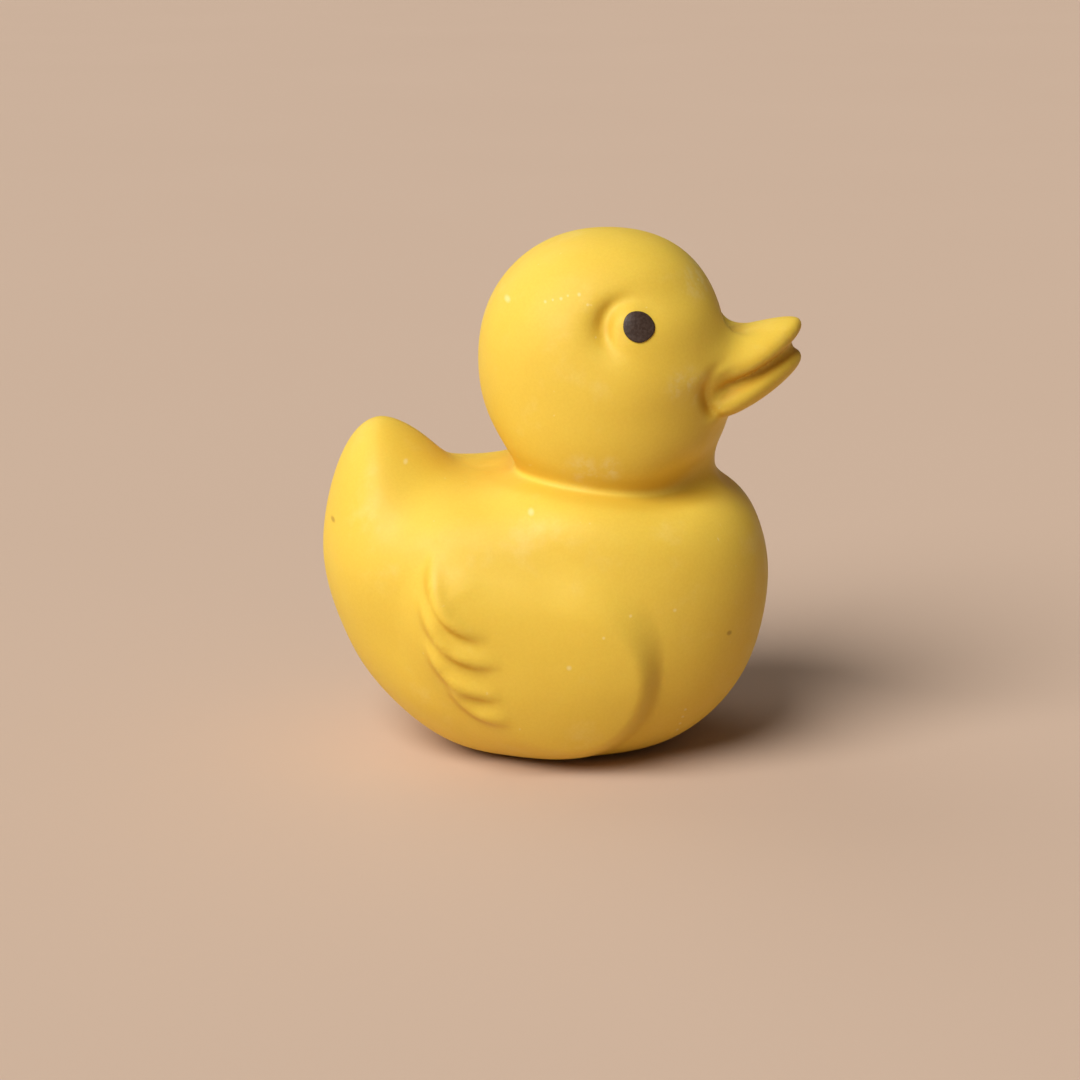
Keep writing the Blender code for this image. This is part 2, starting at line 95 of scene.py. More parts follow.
# Swells and hollows of each flank: place from the middle of the trunk, half length, half height,
# tilt in degrees, and rise
SHOULDER = (0.0019, 0.0103, 0.0080, 0.0030, -18.0, 0.0007)
FLANK_HOLLOW = (-0.0030, 0.0042, 0.0105, 0.0074, -20.0, -0.0020)
WING_TOP_HOLLOW = (-0.0085, 0.0034, 0.0080, 0.0032, -8.0, -0.0013)
NECK_HOLLOW = (0.0183, 0.0138, 0.0060, 0.0030, 20.0, -0.0015)
WING_ROOT = (-0.0145, 0.0033, 0.0042, 0.0110, 0.0, 0.0006)
# Swells and hollows grow to their full rise over this stretch beside the middle plane.
SWELL_FADE = (0.002, 0.010)

# Head and neck
HEAD_FORWARD = 0.0073
NECK_RISE = 0.0140
HEAD_BACK = 0.0176
HEAD_FRONT = 0.0168
HEAD_HALF_WIDTH = 0.0174
HEAD_BELOW = 0.0206
HEAD_ABOVE = 0.0179
HEAD_FULLNESS = 2.11
HEAD_LIFT = 0.0007
FOREHEAD_RISE = 0.0004
FOREHEAD_FORWARD = 0.0095
FOREHEAD_UP = 0.0135
FOREHEAD_SIZE = (0.007, 0.012, 0.006)

# Head meets trunk: the blend goes from nape to throat along x, and to its side value along y.
NAPE_BLEND = 0.0032
THROAT_BLEND = 0.0069
SIDE_BLEND = 0.0048
NAPE_TO_THROAT = (-0.005, 0.017)
MIDDLE_TO_SIDE = (0.004, 0.011)
NECK_CREASE = 0.0004
NECK_CREASE_HALF_WIDTH = 0.0024
NECK_CREASE_AT_NAPE = 0.6

THROAT_FORWARD = 0.0042
THROAT_DROP = 0.0167
THROAT_FRONT = 0.0102
THROAT_HALF_WIDTH = 0.0135
THROAT_HALF_HEIGHT = 0.0115
THROAT_JOIN = 0.0080
CHIN_FORWARD = 0.0125
CHIN_DROP = 0.0068
CHIN_RADIUS = 0.0045
CHIN_HALF_WIDTH = 0.0085
CHIN_JOIN = 0.0030
JOWL_FORWARD = 0.0006
JOWL_DROP = 0.0082
JOWL_SPREAD = 0.0046
JOWL_BACK = 0.0135
JOWL_FRONT = 0.0140
JOWL_HALF_WIDTH = 0.0128
JOWL_HALF_HEIGHT = 0.0114
JOWL_FULLNESS = 2.0
JOWL_JOIN = 0.0060
JOWL_ROUNDING = 0.0030

# Bill
UPPER_BILL_SEAT = 0.0017
UPPER_BILL_RAISE = 0.0010
UPPER_BILL_LENGTH = 0.0126
UPPER_BILL_HALF_WIDTH = 0.0104
UPPER_BILL_HALF_HEIGHT = 0.0026
UPPER_BILL_PITCH = 9.0
UPPER_BILL_LIFT = 0.0020
UPPER_BILL_DROOP = 0.0020
UPPER_BILL_FULLNESS = 2.3
LOWER_BILL_SEAT = 0.0033
LOWER_BILL_DROP = 0.0050
LOWER_BILL_LENGTH = 0.0150
LOWER_BILL_HALF_WIDTH = 0.0112
LOWER_BILL_HALF_HEIGHT = 0.0033
LOWER_BILL_PITCH = 21.0
LOWER_BILL_LIFT = 0.0005
LOWER_BILL_DROOP = 0.0010
LOWER_BILL_FULLNESS = 2.2
BILL_ROOT = 0.0080
BILL_NARROWING = 0.4
MOUTH_BLEND = 0.0012
MOUTH_FLOOR_SEAT = 0.0030
MOUTH_FLOOR_DROP = 0.0016
MOUTH_FLOOR_LENGTH = 0.0130
MOUTH_FLOOR_HALF_WIDTH = 0.0098
MOUTH_FLOOR_HALF_HEIGHT = 0.0030
MOUTH_FLOOR_PITCH = 15.0
MOUTH_FLOOR_DROOP = 0.0015

# Bill meets head, with a wider blend above the mouth and beside the middle plane
BILL_BLEND = 0.0018
BILL_TOP_BLEND = 0.0080
BILL_TOP_ABOVE = (-0.0005, 0.0030)
BILL_TOP_BESIDE = (0.001, 0.006)

# The line of the mouth: its corner from the head, its slope, its bend and its groove
MOUTH_CORNER = (0.0157, -0.0021)
MOUTH_RISE = 0.40
MOUTH_LIFT = -6.0
MOUTH_DEPTH = 0.0003
MOUTH_HALF_WIDTH = 0.0008
MOUTH_CORNER_FADE = 0.0008
# The crease where the corner of the mouth meets the cheek: its middle from the head, radius, depth
LIP_CREASE = (0.0172, -0.0026, 0.0040, 0.0007)
LIP_CREASE_HALF_WIDTH = 0.0008
LIP_CREASE_ANGLE = 195.0
LIP_CREASE_SPREAD = 62.0
LIP_CREASE_FADE = (0.003, 0.007)

# Eyes
EYE_FORWARD = 0.0041
EYE_UP = 0.0073
EYE_DIAMETER = 0.0044
PAINT_GAP = 0.00003
PAINT_THICKNESS = 0.00012
EYEBALL_RADIUS = 0.0036
EYEBALL_SEAT = 0.0052
EYEBALL_BEHIND = 0.0012
EYEBALL_DROP = 0.0007
EYEBALL_BLEND = 0.0013
# The crease round the upper back of each eyeball: its radius, half width, depth and middle angle
EYE_CREASE = (0.0032, 0.0009, 0.0013, 150.0)
EYE_CREASE_SPREAD = 80.0
EYE_CREASE_OUTER_SLOPE = 0.55
# Swells and hollows round each eye, from the middle of the eye, as those of the flank
EYE_HOLLOW = (-0.0046, -0.0008, 0.0030, 0.0034, 0.0, -0.0009)
BROW_HOLLOW = (0.0028, 0.0032, 0.0060, 0.0028, -4.0, -0.0007)
CHEEK = (0.0020, -0.0085, 0.0090, 0.0040, 0.0, 0.0005)

# Wings: places are measured from the middle of the trunk
WING_LOBE = (0.0012, -0.0120)
WING_LOBE_HALF_LENGTH = 0.0121
WING_LOBE_HALF_HEIGHT = 0.0130
WING_BACK = (-0.0085, -0.0048)
WING_BACK_RADIUS = 0.0097
WING_HEIGHT = 0.0020
WING_BLEND = 0.0070
WING_EDGE = 0.0036
WING_FADE = (0.006, 0.014)
# The low front of the wing stands out a little more, with a sharper edge.
LOW_FRONT_ALONG = (-0.010, 0.007)
LOW_FRONT_DOWN = (0.001, -0.014)
LOW_FRONT_RISE = 0.0006
LOW_FRONT_SHARPER = 0.0019

FEATHER_HEIGHT = 0.0014
FEATHER_HALF_WIDTH = 0.0010
FEATHER_OUTER_SLOPE = 1.3
FEATHER_INNER_SLOPE = 0.65
FEATHER_START = (-0.15, 0.30)
FEATHER_END = (0.65, 1.15)
FEATHER_FADE = (0.012, 0.017)
# Each feather edge is an arc: its centre from the middle of the trunk, its radius, and its angles.
FEATHERS = (
    (-0.0088, 0.0021, 0.0075, 163, 262),
    (-0.0087, -0.0006, 0.0087, 183, 274),
    (-0.0082, -0.0054, 0.0087, 190, 272),
    (-0.0063, -0.0102, 0.0080, 192, 268),
)

# Shell
WALL = 0.0022
AIR_HOLE_DIAMETER = 0.0030
AIR_HOLE_BEHIND = 0.0070

# Mesh
SKIN_VOXEL = 0.0009
CAVITY_VOXEL = 0.0016
BALL_SEGMENTS = 32
BALL_RINGS = 20
HOLE_SEGMENTS = 48
PAINT_RINGS = 12
PAINT_SEGMENTS = 72
SLOPE_STEP = 0.00003
GENTLEST_SLOPE = 0.05
LONGEST_MOVE = 0.0015
SHARP_ANGLE = 50.0

# How far out from the skin the creases and the wider hollows are felt, for the painted shade laid into them
CREASE_REACH = 0.0016
HOLLOW_REACH = 0.0040

BODY_Z = BODY_BELOW - BASE_CUT
HEAD_X = BODY_X + HEAD_FORWARD
HEAD_Z = BODY_Z + BODY_ABOVE + NECK_RISE

# Marks on the duck's right side: along x, up z, radius
# Pale specks, a row of small bubbles and a scratch, with one painted highlight high on the head at
# (-0.0051, 0.0647)
PALE_SPECKS_AND_HIGHLIGHT = (
    (0.0032, 0.0175, 0.00050),
    (-0.0019, 0.0374, 0.00060),
    (0.0174, 0.0247, 0.00035),
    (0.0078, 0.0217, 0.00030),
    (0.0114, 0.0244, 0.00030),
    (-0.0231, 0.0471, 0.00045),
    (-0.0192, 0.0420, 0.00045),
    (-0.0051, 0.0647, 0.00060),
    (0.0000, 0.0651, 0.00028),
    (0.0010, 0.0654, 0.00022),
    (0.0021, 0.0656, 0.00030),
    (0.0030, 0.0660, 0.00022),
    (0.0045, 0.0662, 0.00034),
    (0.0193, 0.0091, 0.00030),
    (0.0190, 0.0078, 0.00030),
    (0.0187, 0.0065, 0.00030),
    (0.0184, 0.0052, 0.00030),
)
# Pale patches on the head and below the nape: partly pale bloom, partly painted highlight where the light
# falls
PALE_PATCHES = (
    (0.0188, 0.0540, 0.0038),
    (0.0211, 0.0674, 0.0040),
    (0.0050, 0.0425, 0.0034),
    (0.0085, 0.0430, 0.0026),
)
DARK_SPECKS = (
    (0.0251, 0.0202, 0.00050),
    (-0.0294, 0.0337, 0.00050),
)

# Colours of the rubber, the paint and the ground
YELLOW = (0.84, 0.570, 0.070, 1)
CLOUD_YELLOW = (0.81, 0.530, 0.058, 1)
BLOOM_COLOUR = (0.93, 0.74, 0.27, 1)
GRAIN_COLOUR = (0.70, 0.42, 0.035, 1)
BLOOM_AND_HIGHLIGHT_COLOUR = (0.88, 0.74, 0.36, 1)
SPECK_AND_HIGHLIGHT_COLOUR = (0.93, 0.80, 0.42, 1)
PIT_COLOUR = (0.36, 0.17, 0.02, 1)
# Painted shade: darker colours laid into the wide hollows and the creases
HOLLOW_SHADE_COLOUR = (0.66, 0.37, 0.018, 1)
CREASE_SHADE_COLOUR = (0.66, 0.31, 0.018, 1)
DARK_PAINT = (0.040, 0.020, 0.012, 1)
WORN_PAINT = (0.064, 0.035, 0.022, 1)
GROUND_COLOURS = ((0.584, 0.423, 0.313, 1), (0.600, 0.437, 0.325, 1))
GROUND_SIZE = 6.0

# Lamps: name, direction that the light comes from, strength, and spread in degrees
LAMPS = (
    ("key", (-0.47, -0.51, 0.72), 3.6, 42.0),
    ("side", (-0.98, -0.15, 0.06), 0.4, 40.0),
    ("rim", (-0.55, 0.60, 0.58), 0.6, 50.0),
)
WORLD_COLOUR = (0.08, 0.08, 0.08, 1)

# Camera
CAMERA_TARGET = (-0.0007, 0.0, 0.0287)
CAMERA_DISTANCE = 0.362
CAMERA_ELEVATION = 15.0
CAMERA_LENS = 85.0


def smooth_step(low, high, value):
    t = np.clip((value - low) / (high - low), 0.0, 1.0)
    return t * t * (3.0 - 2.0 * t)


def soft_union(first, second, reach):
    """The nearer of two distances, with a round blend where they are within reach of each other."""
    overlap = np.maximum(reach - np.abs(first - second), 0.0) / reach
    return np.minimum(first, second) - overlap**3 * reach / 6.0


def soft_cut(first, second, reach):
    return -soft_union(-first, second, reach)


def bell(points, centre, size):
    """1 at the centre, fading to 0 over about the given size each way."""
    offset = (points - np.array(centre)) / np.array(size)
    return np.exp(-(offset * offset).sum(axis=1))


class Lump:
    """A rounded lump with its own reach backwards, forwards, sideways, down and up.

    It may lean nose up (pitch, degrees), be fuller or thinner than an ellipsoid (2 is an ellipsoid),
    curl up at the front (lift), hang down at the sides (droop), narrow towards the front and have
    flat sides (above 1).
    """

    LIFT_LIMIT = 1.2
    DROOP_LIMIT = 1.5
    TURN_SHARE = 0.35

    def __init__(self, x, z, back, front, half_width, below, above, y=0.0, pitch=0.0, fullness=2.0,
                 lift=0.0, droop=0.0, narrow=0.0, flat=1.0):
        self.centre = np.array([x, y, z])
        self.back = back
        self.front = front
        self.half_width = half_width
        self.below = below
        self.above = above
        self.pitch = np.radians(pitch)
        self.fullness = fullness
        self.lift = lift
        self.droop = droop
        self.narrow = narrow
        self.flat = flat

    def distance(self, points):
        """About how far each point lies outside the lump, and below zero inside it."""
        offset = points - self.centre
        cosine, sine = np.cos(self.pitch), np.sin(self.pitch)
        x = offset[:, 0] * cosine + offset[:, 2] * sine
        y = offset[:, 1]
        z = offset[:, 2] * cosine - offset[:, 0] * sine
        ahead = np.clip(x / self.front, 0.0, self.LIFT_LIMIT) ** 2
        aside = np.minimum((y / self.half_width) ** 2, self.DROOP_LIMIT)
        z = z - self.lift * ahead + self.droop * aside
        y = np.abs(y) / (1.0 - self.narrow * np.minimum(ahead, 1.0))
        y = self.half_width * (y / self.half_width) ** self.flat
        return self._ellipsoid(x, y, z)

    def _ellipsoid(self, x, y, z):
        turn_x = self.TURN_SHARE * (self.back + self.front)
        turn_z = self.TURN_SHARE * (self.below + self.above)
        reach_x = self.back + (self.front - self.back) * smooth_step(-turn_x, turn_x, x)
        reach_z = self.below + (self.above - self.below) * smooth_step(-turn_z, turn_z, z)
        power = self.fullness
        parts = [np.abs(x) / reach_x, np.abs(y) / self.half_width, np.abs(z) / reach_z]
        reaches = [reach_x, self.half_width, reach_z]
        size = sum(part**power for part in parts) ** (1.0 / power) + 1e-9
        slope = sum((part ** (power - 1.0) / reach) ** 2 for part, reach in zip(parts, reaches))
        return (size - 1.0) * size ** (power - 1.0) / (np.sqrt(slope) + 1e-9)

    def ball(self, shrink):
        """A rough closed mesh of the lump, all round smaller by shrink."""
        ball = bmesh.new()
        bmesh.ops.create_uvsphere(ball, u_segments=BALL_SEGMENTS, v_segments=BALL_RINGS, radius=1.0)
        turn = Matrix.Rotation(-self.pitch, 3, "Y")
        for vert in ball.verts:
            x, y, z = vert.co
            ahead = max(x, 0.0) ** 2
            x *= max((self.front if x > 0 else self.back) - shrink, shrink)
            y *= max(self.half_width - shrink, shrink)
            z *= max((self.above if z > 0 else self.below) - shrink, shrink)
            z += self.lift * ahead - self.droop * (y / self.half_width) ** 2
            y *= 1.0 - self.narrow * ahead
            vert.co = turn @ Vector((x, y, z)) + Vector(self.centre)
        return ball


def trunk_lumps():
    body = Lump(BODY_X, BODY_Z, BODY_BACK, BODY_FRONT, BODY_HALF_WIDTH, BODY_BELOW, BODY_ABOVE,
                pitch=BODY_PITCH, fullness=BODY_FULLNESS, flat=FLAT_SIDES)
    chest = Lump(BODY_X + CHEST_FORWARD, BODY_Z - CHEST_DROP, CHEST_REACH, CHEST_REACH,
                 CHEST_HALF_WIDTH, CHEST_BELOW, CHEST_ABOVE, fullness=CHEST_FULLNESS, flat=FLAT_SIDES)
    keel = Lump(BODY_X, KEEL_BELOW + KEEL_CLEARANCE, KEEL_BACK, KEEL_FRONT, KEEL_HALF_WIDTH,
                KEEL_BELOW, KEEL_ABOVE, fullness=CHEST_FULLNESS, flat=FLAT_SIDES)
    tail = Lump(BODY_X - BODY_BACK + TAIL_INSET, BODY_Z + TAIL_RAISE, TAIL_BACK, TAIL_FRONT,
                TAIL_HALF_WIDTH, TAIL_BELOW, TAIL_ABOVE, pitch=TAIL_PITCH, fullness=TAIL_FULLNESS)
    return body, chest, keel, tail


def head_lumps():
    head = Lump(HEAD_X, HEAD_Z, HEAD_BACK, HEAD_FRONT, HEAD_HALF_WIDTH, HEAD_BELOW, HEAD_ABOVE,
                fullness=HEAD_FULLNESS, lift=HEAD_LIFT, flat=FLAT_CHEEKS)
    throat = Lump(HEAD_X + THROAT_FORWARD, HEAD_Z - THROAT_DROP, THROAT_FRONT, THROAT_FRONT,
                  THROAT_HALF_WIDTH, THROAT_HALF_HEIGHT, THROAT_HALF_HEIGHT)
    chin = Lump(HEAD_X + CHIN_FORWARD, HEAD_Z - CHIN_DROP, CHIN_RADIUS, CHIN_RADIUS,
                CHIN_HALF_WIDTH, CHIN_RADIUS, CHIN_RADIUS)
    jowl = Lump(HEAD_X + JOWL_FORWARD, HEAD_Z - JOWL_DROP, JOWL_BACK, JOWL_FRONT, JOWL_HALF_WIDTH,
                JOWL_HALF_HEIGHT, JOWL_HALF_HEIGHT, y=JOWL_SPREAD, fullness=JOWL_FULLNESS, flat=FLAT_CHEEKS)
    return head, throat, chin, jowl


def bill_lumps():
    root = HEAD_X + HEAD_FRONT
    upper = Lump(root - UPPER_BILL_SEAT, HEAD_Z + UPPER_BILL_RAISE, BILL_ROOT, UPPER_BILL_LENGTH,
                 UPPER_BILL_HALF_WIDTH, UPPER_BILL_HALF_HEIGHT, UPPER_BILL_HALF_HEIGHT,
                 pitch=UPPER_BILL_PITCH, fullness=UPPER_BILL_FULLNESS, lift=UPPER_BILL_LIFT,
                 droop=UPPER_BILL_DROOP, narrow=BILL_NARROWING)
    lower = Lump(root - LOWER_BILL_SEAT, HEAD_Z - LOWER_BILL_DROP, BILL_ROOT, LOWER_BILL_LENGTH,
                 LOWER_BILL_HALF_WIDTH, LOWER_BILL_HALF_HEIGHT, LOWER_BILL_HALF_HEIGHT,
                 pitch=LOWER_BILL_PITCH, fullness=LOWER_BILL_FULLNESS, lift=LOWER_BILL_LIFT,
                 droop=LOWER_BILL_DROOP, narrow=BILL_NARROWING)
    between = Lump(root - MOUTH_FLOOR_SEAT, HEAD_Z - MOUTH_FLOOR_DROP, BILL_ROOT, MOUTH_FLOOR_LENGTH,
                   MOUTH_FLOOR_HALF_WIDTH, MOUTH_FLOOR_HALF_HEIGHT, MOUTH_FLOOR_HALF_HEIGHT,
                   pitch=MOUTH_FLOOR_PITCH, fullness=LOWER_BILL_FULLNESS, droop=MOUTH_FLOOR_DROOP,
                   narrow=BILL_NARROWING)
    return upper, lower, between


def above_mouth(points):
    """How far each point is above the line between the two halves of the bill."""
    ahead = points[:, 0] - HEAD_X - MOUTH_CORNER[0]
    up = points[:, 2] - HEAD_Z - MOUTH_CORNER[1]
    return up - MOUTH_RISE * ahead - MOUTH_LIFT * ahead * np.abs(ahead)


def mouth_groove(points):
    """How deep the line between the two halves of the bill is, from its corner to the tip."""
    ahead = points[:, 0] - HEAD_X - MOUTH_CORNER[0]
    off_line = above_mouth(points) / (MOUTH_HALF_WIDTH * (1.0 + MOUTH_RISE))
    fade = smooth_step(-MOUTH_CORNER_FADE, MOUTH_CORNER_FADE, ahead)
    return MOUTH_DEPTH * np.exp(-off_line * off_line) * fade


def lip_crease(points):
    """How deep the crease is behind the corner of the mouth."""
    place_x, place_z, radius, depth = LIP_CREASE
    across = points[:, 0] - HEAD_X - place_x
    up = points[:, 2] - HEAD_Z - place_z
    off_line = (np.hypot(across, up) - radius) / LIP_CREASE_HALF_WIDTH
    turn = np.degrees(np.arctan2(up, across)) % 360.0 - LIP_CREASE_ANGLE
    return depth * np.exp(-off_line * off_line - (turn / LIP_CREASE_SPREAD) ** 2)


def eye_crease(points):
    """How deep the crease is that hugs the eyeball from behind and above."""
    radius, half_width, depth, middle = EYE_CREASE
    across = points[:, 0] - HEAD_X - EYE_FORWARD + EYEBALL_BEHIND
    up = points[:, 2] - HEAD_Z - EYE_UP + EYEBALL_DROP
    off_line = (np.hypot(across, up) - radius) / half_width
    off_line = off_line * np.where(off_line > 0.0, EYE_CREASE_OUTER_SLOPE, 1.0)
    turn = (np.degrees(np.arctan2(up, across)) - middle + 180.0) % 360.0 - 180.0
    fade = np.exp(-((turn / EYE_CREASE_SPREAD) ** 2)) * smooth_step(*SWELL_FADE, points[:, 1])
    return depth * np.exp(-off_line * off_line) * fade


def eyeball_lump():
    radius = EYEBALL_RADIUS
    return Lump(HEAD_X + EYE_FORWARD - EYEBALL_BEHIND, HEAD_Z + EYE_UP - EYEBALL_DROP, radius, radius,
                radius, radius, radius, y=HEAD_HALF_WIDTH - EYEBALL_SEAT)


TRUNK = trunk_lumps()
HEAD = head_lumps()
BILL = bill_lumps()
EYEBALL = eyeball_lump()


def swell(points, x, z, shape):
    """A soft swell of the side, or a hollow where its rise is below zero."""
    place_x, place_z, half_length, half_height, tilt, rise = shape
    cosine, sine = np.cos(np.radians(tilt)), np.sin(np.radians(tilt))
    across = points[:, 0] - x - place_x
    up = points[:, 2] - z - place_z
    along = (across * cosine + up * sine) / half_length
    over = (up * cosine - across * sine) / half_height
    return rise * np.exp(-along * along - over * over) * smooth_step(*SWELL_FADE, points[:, 1])


def trunk_form(points):
    body, chest, keel, tail = (lump.distance(points) for lump in TRUNK)
    trunk = soft_union(soft_union(body, chest, TRUNK_BLEND), keel, TRUNK_BLEND)
    return soft_union(trunk, tail, TAIL_BLEND)


def head_form(points):
    head, throat, chin = (lump.distance(points) for lump in HEAD[:3])
    head = soft_union(soft_union(head, throat, THROAT_JOIN), chin, CHIN_JOIN)
    rounded = points.copy()
    rounded[:, 1] = np.hypot(points[:, 1], JOWL_ROUNDING)
    head = soft_union(head, HEAD[3].distance(rounded), JOWL_JOIN)
    forehead = (HEAD_X + FOREHEAD_FORWARD, 0.0, HEAD_Z + FOREHEAD_UP)
    return head - FOREHEAD_RISE * bell(points, forehead, FOREHEAD_SIZE)


def trunk_and_head(points):
    """The plain form without bill, wings and eyeballs, for points on the side where y is above 0."""
    forwards = smooth_step(BODY_X + NAPE_TO_THROAT[0], BODY_X + NAPE_TO_THROAT[1], points[:, 0])
    beside = smooth_step(*MIDDLE_TO_SIDE, points[:, 1])
    reach = NAPE_BLEND + (THROAT_BLEND - NAPE_BLEND) * forwards
    reach = reach + (SIDE_BLEND - reach) * beside
    trunk, head = trunk_form(points), head_form(points)
    form = soft_union(trunk, head, reach)
    seam = np.exp(-(((trunk - head) / NECK_CREASE_HALF_WIDTH) ** 2)) * beside
    form = form + NECK_CREASE * seam * (NECK_CREASE_AT_NAPE + forwards)
    saddle = (BODY_X - SADDLE_BEHIND, 0.0, BODY_Z + BODY_ABOVE)
    form = form + SADDLE_DIP * bell(points, saddle, SADDLE_SIZE)
    for shape in (SHOULDER, FLANK_HOLLOW, WING_TOP_HOLLOW, NECK_HOLLOW, WING_ROOT):
        form = form - swell(points, BODY_X, BODY_Z, shape)
    for shape in (EYE_HOLLOW, BROW_HOLLOW, CHEEK):
        form = form - swell(points, HEAD_X + EYE_FORWARD, HEAD_Z + EYE_UP, shape)
    return form + eye_crease(points)


def inside_oval(x, z, place, half_length, half_height):
    """How far each point lies inside an oval drawn on the duck's side."""
    across = np.hypot((x - place[0]) / half_length, (z - place[1]) / half_height)
    return (1.0 - across) * 0.5 * (half_length + half_height)


def feather_ridges(x, z):
    height = np.zeros(len(x))
    for centre_x, centre_z, radius, first, last in FEATHERS:
        off_line = (np.hypot(x - centre_x, z - centre_z) - radius) / FEATHER_HALF_WIDTH
        off_line = off_line * np.where(off_line > 0.0, FEATHER_OUTER_SLOPE, FEATHER_INNER_SLOPE)
        angle = np.degrees(np.arctan2(z - centre_z, x - centre_x)) % 360.0
        along = (angle - first) / (last - first)
        fade = smooth_step(*FEATHER_START, along) * (1.0 - smooth_step(*FEATHER_END, along))
        height += FEATHER_HEIGHT * np.exp(-off_line * off_line) * fade
    return height


def wing_pad(points):
    """How far the rounded pad of the wing stands out from the plain flank."""
    x = points[:, 0] - BODY_X
    z = points[:, 2] - BODY_Z
    lobe = inside_oval(x, z, WING_LOBE, WING_LOBE_HALF_LENGTH, WING_LOBE_HALF_HEIGHT)
    back = inside_oval(x, z, WING_BACK, WING_BACK_RADIUS, WING_BACK_RADIUS)
    low_front = smooth_step(*LOW_FRONT_ALONG, x) * smooth_step(*LOW_FRONT_DOWN, z)
    softness = WING_EDGE - LOW_FRONT_SHARPER * low_front
    edge = -soft_union(-lobe, -back, WING_BLEND)
    pad = (WING_HEIGHT + LOW_FRONT_RISE * low_front) * smooth_step(-softness, softness, edge)
    return pad * smooth_step(*WING_FADE, points[:, 1])


def feather_relief(points):
    ridges = feather_ridges(points[:, 0] - BODY_X, points[:, 2] - BODY_Z)
    return ridges * smooth_step(*FEATHER_FADE, points[:, 1])


def one_side(points):
    """The duck is the same on both sides, so the form is worked out for the left one."""
    folded = points.copy()
    folded[:, 1] = np.abs(folded[:, 1])
    return folded


def skin(points):
    """How far each point lies outside the duck's outer surface."""
    side = one_side(points)
    form = trunk_and_head(side) - wing_pad(side) - feather_relief(side)
    upper, lower, between = (lump.distance(side) for lump in BILL)
    bill = soft_union(soft_union(upper, lower, MOUTH_BLEND), between, MOUTH_BLEND)
    bill = bill + mouth_groove(side)
    on_top = smooth_step(*BILL_TOP_ABOVE, above_mouth(side)) * smooth_step(*BILL_TOP_BESIDE, side[:, 1])
    form = soft_union(form, bill, BILL_BLEND + (BILL_TOP_BLEND - BILL_BLEND) * on_top)
    form = form + lip_crease(side) * smooth_step(*LIP_CREASE_FADE, side[:, 1])
    form = soft_union(form, EYEBALL.distance(side), EYEBALL_BLEND)
    return soft_cut(form, side[:, 2], BASE_ROUNDING)


def cavity_skin(points):
    """The hollow follows trunk, head and wings at one wall's depth. The bill is solid."""
    side = one_side(points)
    form = trunk_and_head(side) - wing_pad(side) + WALL
    return soft_cut(form, side[:, 2] - WALL, BASE_ROUNDING)


def slope_of(field, points):
    """Which way and how fast the field grows at each point."""
    slope = np.empty_like(points)
    for axis in range(3):
        shift = np.zeros(3)
        shift[axis] = SLOPE_STEP
        slope[:, axis] = (field(points + shift) - field(points - shift)) / (2.0 * SLOPE_STEP)
    return slope


def onto(field, points, level=0.0):
    """One step of each point towards where the field is level."""
    slope = slope_of(field, points)
    steepness = np.maximum((slope * slope).sum(axis=1), GENTLEST_SLOPE)
    move = slope * ((level - field(points)) / steepness)[:, None]
    length = np.linalg.norm(move, axis=1, keepdims=True)
    return points + move * np.minimum(1.0, LONGEST_MOVE / np.maximum(length, 1e-9))


def relaxed(points, edges):
    """Each point moved halfway to the middle of its neighbours."""
    total = np.zeros_like(points)
    count = np.zeros(len(points))
    for here, there in ((0, 1), (1, 0)):
        np.add.at(total, edges[:, here], points[edges[:, there]])
        np.add.at(count, edges[:, here], 1.0)
    return 0.5 * (points + total / count[:, None])


def points_of(mesh):
    points = np.empty(len(mesh.vertices) * 3)
    mesh.vertices.foreach_get("co", points)
    return points.reshape(-1, 3)


def edges_of(mesh):
    edges = np.empty(len(mesh.edges) * 2, dtype=np.int64)
    mesh.edges.foreach_get("vertices", edges)
    return edges.reshape(-1, 2)


def wrap(obj, field, relaxing, settling):
    """Moves the mesh's points onto the field's surface, first spreading them evenly."""
    mesh = obj.data
    points = points_of(mesh)
    edges = edges_of(mesh)
    for _ in range(relaxing):
        points = onto(field, relaxed(points, edges))
    for _ in range(settling):
        points = onto(field, points)
    mesh.vertices.foreach_set("co", points.ravel())
    mesh.update()


def apply_modifiers(obj):
    bpy.context.view_layer.update()
    evaluated = obj.evaluated_get(bpy.context.evaluated_depsgraph_get())
    mesh = bpy.data.meshes.new_from_object(evaluated)
    obj.modifiers.clear()
    obj.data = mesh


def joined_balls(name, lumps, shrink):
    """The lumps' rough balls, and the left side's eyeball on both sides, as one object."""
    whole = bmesh.new()
    for lump in lumps:
        sides = (1, -1) if lump.centre[1] else (1,)
        for side in sides:
            ball = lump.ball(shrink)
            if side < 0:
                bmesh.ops.scale(ball, vec=(1.0, -1.0, 1.0), verts=ball.verts)
                bmesh.ops.reverse_faces(ball, faces=ball.faces)
            piece = bpy.data.meshes.new(name)
            ball.to_mesh(piece)
            ball.free()
            whole.from_mesh(piece)
            bpy.data.meshes.remove(piece)
    mesh = bpy.data.meshes.new(name)
    whole.to_mesh(mesh)
    whole.free()
    obj = bpy.data.objects.new(name, mesh)
    bpy.context.scene.collection.objects.link(obj)
    return obj


def moulded_skin(name, lumps, shrink, field, voxel, finer):
    """One closed skin on the field: rough balls, remeshed, wrapped, and split once for the fine form."""
    obj = joined_balls(name, lumps, shrink)
    remesh = obj.modifiers.new("One skin", "REMESH")
    remesh.mode = "VOXEL"
    remesh.voxel_size = voxel
    apply_modifiers(obj)
    wrap(obj, field, relaxing=12, settling=3)
    if finer:
        split = obj.modifiers.new("Finer", "SUBSURF")
        split.levels = 1
        apply_modifiers(obj)
        wrap(obj, field, relaxing=1, settling=4)
    return obj


def cut(obj, cutter, name):
    boolean = obj.modifiers.new(name, "BOOLEAN")
    boolean.operation = "DIFFERENCE"
    boolean.object = cutter


